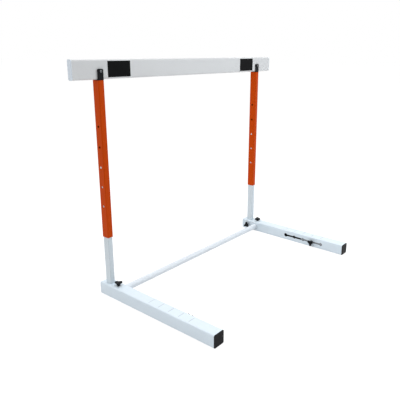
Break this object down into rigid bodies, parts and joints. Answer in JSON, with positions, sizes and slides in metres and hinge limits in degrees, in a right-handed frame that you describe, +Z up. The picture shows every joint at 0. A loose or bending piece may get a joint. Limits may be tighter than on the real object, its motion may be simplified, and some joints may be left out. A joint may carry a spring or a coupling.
{
  "type": "track hurdle",
  "caption": "Height-adjustable athletics hurdle: a crossbar on two telescoping uprights that stand in long floor runners with sliding counterweights.",
  "frame": {"origin": "on the ground, under the middle of the whole hurdle's box", "axes": "+X along the crossbar to the right, +Y to the rear (the runners' long ends and caps point to -Y, the side the runner comes from), +Z up"},
  "size_m": [1.2, 0.595, 0.9144],
  "materials": {
    "white_paint": "satin powder coat",
    "orange_paint": "satin powder coat",
    "bar_white": "semi-gloss",
    "band_black": "satin film",
    "black_plastic": "moulded, fine grain",
    "zinc_steel": "bright zinc plate",
    "bare_steel": "plain mill finish"
  },
  "bodies": {
    "base": {"left_runner": "white_paint", "left_runner_front_cap": "black_plastic", "left_runner_rear_cap": "bar_white", "left_post_socket": "white_paint", "left_post_clamp_nut": "bare_steel", "left_cross_clamp_nut": "bare_steel", "left_cross_tube_spigot": "bare_steel", "left_post": "white_paint", "left_snap_spring": "zinc_steel", "right_runner": "white_paint", "right_runner_front_cap": "black_plastic", "right_runner_rear_cap": "bar_white", "right_post_socket": "white_paint", "right_post_clamp_nut": "bare_steel", "right_cross_clamp_nut": "bare_steel", "right_cross_tube_spigot": "bare_steel", "right_post": "white_paint", "right_snap_spring": "zinc_steel", "cross_tube": "white_paint"},
    "bar_frame": {"left_upper_tube": "orange_paint", "left_bracket": "black_plastic", "left_bracket_bolt": "zinc_steel", "left_bracket_nut": "zinc_steel", "right_upper_tube": "orange_paint", "right_bracket": "black_plastic", "right_bracket_bolt": "zinc_steel", "right_bracket_nut": "zinc_steel", "crossbar": "bar_white", "crossbar_left_cap": "bar_white", "crossbar_right_cap": "bar_white", "crossbar_left_front_band": "band_black", "crossbar_left_rear_band": "band_black", "crossbar_right_front_band": "band_black", "crossbar_right_rear_band": "band_black"},
    "left_weight": {"left_counterweight": "bare_steel", "left_counterweight_washer": "zinc_steel"},
    "left_weight_screw": {"left_counterweight_knob": "black_plastic", "left_counterweight_stud": "zinc_steel"},
    "left_post_screw": {"left_post_clamp_knob": "black_plastic", "left_post_clamp_stud": "zinc_steel"},
    "left_cross_screw": {"left_cross_clamp_knob": "black_plastic", "left_cross_clamp_stud": "zinc_steel"},
    "left_outer_button": {"left_snap_button_outer": "zinc_steel"},
    "left_inner_button": {"left_snap_button_inner": "zinc_steel"},
    "right_weight": {"right_counterweight": "bare_steel", "right_counterweight_washer": "zinc_steel"},
    "right_weight_screw": {"right_counterweight_knob": "black_plastic", "right_counterweight_stud": "zinc_steel"},
    "right_post_screw": {"right_post_clamp_knob": "black_plastic", "right_post_clamp_stud": "zinc_steel"},
    "right_cross_screw": {"right_cross_clamp_knob": "black_plastic", "right_cross_clamp_stud": "zinc_steel"},
    "right_outer_button": {"right_snap_button_outer": "zinc_steel"},
    "right_inner_button": {"right_snap_button_inner": "zinc_steel"}
  },
  "joints": [
    {"name": "height_slide", "type": "slide", "parent": "base", "child": "bar_frame", "axis": [0, 0, 1], "range_m": [-0.1524, 0.1524], "deforming": ["left_snap_button_outer", "left_snap_button_inner", "right_snap_button_outer", "right_snap_button_inner"]},
    {"name": "left_weight_slide", "type": "slide", "parent": "base", "child": "left_weight", "axis": [0, 1, 0], "range_m": [-0.05, 0.15]},
    {"name": "right_weight_slide", "type": "slide", "parent": "base", "child": "right_weight", "axis": [0, 1, 0], "range_m": [-0.05, 0.15]},
    {"name": "left_weight_knob_turn", "type": "hinge", "parent": "left_weight", "child": "left_weight_screw", "pos_m": [-0.458, -0.1325, 0.025], "axis": [1, 0, 0], "range_deg": [0, 720]},
    {"name": "right_weight_knob_turn", "type": "hinge", "parent": "right_weight", "child": "right_weight_screw", "pos_m": [0.458, -0.1325, 0.025], "axis": [-1, 0, 0], "range_deg": [0, 720]},
    {"name": "left_post_knob_turn", "type": "hinge", "parent": "base", "child": "left_post_screw", "pos_m": [-0.46, 0.2625, 0.025], "axis": [1, 0, 0], "range_deg": [0, 720]},
    {"name": "right_post_knob_turn", "type": "hinge", "parent": "base", "child": "right_post_screw", "pos_m": [0.46, 0.2625, 0.025], "axis": [-1, 0, 0], "range_deg": [0, 720]},
    {"name": "left_cross_knob_turn", "type": "hinge", "parent": "base", "child": "left_cross_screw", "pos_m": [-0.485, 0.2145, 0.05], "axis": [0, 0, 1], "range_deg": [0, 720]},
    {"name": "right_cross_knob_turn", "type": "hinge", "parent": "base", "child": "right_cross_screw", "pos_m": [0.485, 0.2145, 0.05], "axis": [0, 0, 1], "range_deg": [0, 720]},
    {"name": "left_outer_button_press", "type": "slide", "parent": "base", "child": "left_outer_button", "axis": [1, 0, 0], "range_m": [0, 0.0042], "stiffness_N_per_m": 2500, "springref_m": -0.002, "deforming": ["left_snap_spring"]},
    {"name": "left_inner_button_press", "type": "slide", "parent": "base", "child": "left_inner_button", "axis": [-1, 0, 0], "range_m": [0, 0.0042], "stiffness_N_per_m": 2500, "springref_m": -0.002},
    {"name": "right_outer_button_press", "type": "slide", "parent": "base", "child": "right_outer_button", "axis": [-1, 0, 0], "range_m": [0, 0.0042], "stiffness_N_per_m": 2500, "springref_m": -0.002, "deforming": ["right_snap_spring"]},
    {"name": "right_inner_button_press", "type": "slide", "parent": "base", "child": "right_inner_button", "axis": [1, 0, 0], "range_m": [0, 0.0042], "stiffness_N_per_m": 2500, "springref_m": -0.002}
  ]
}
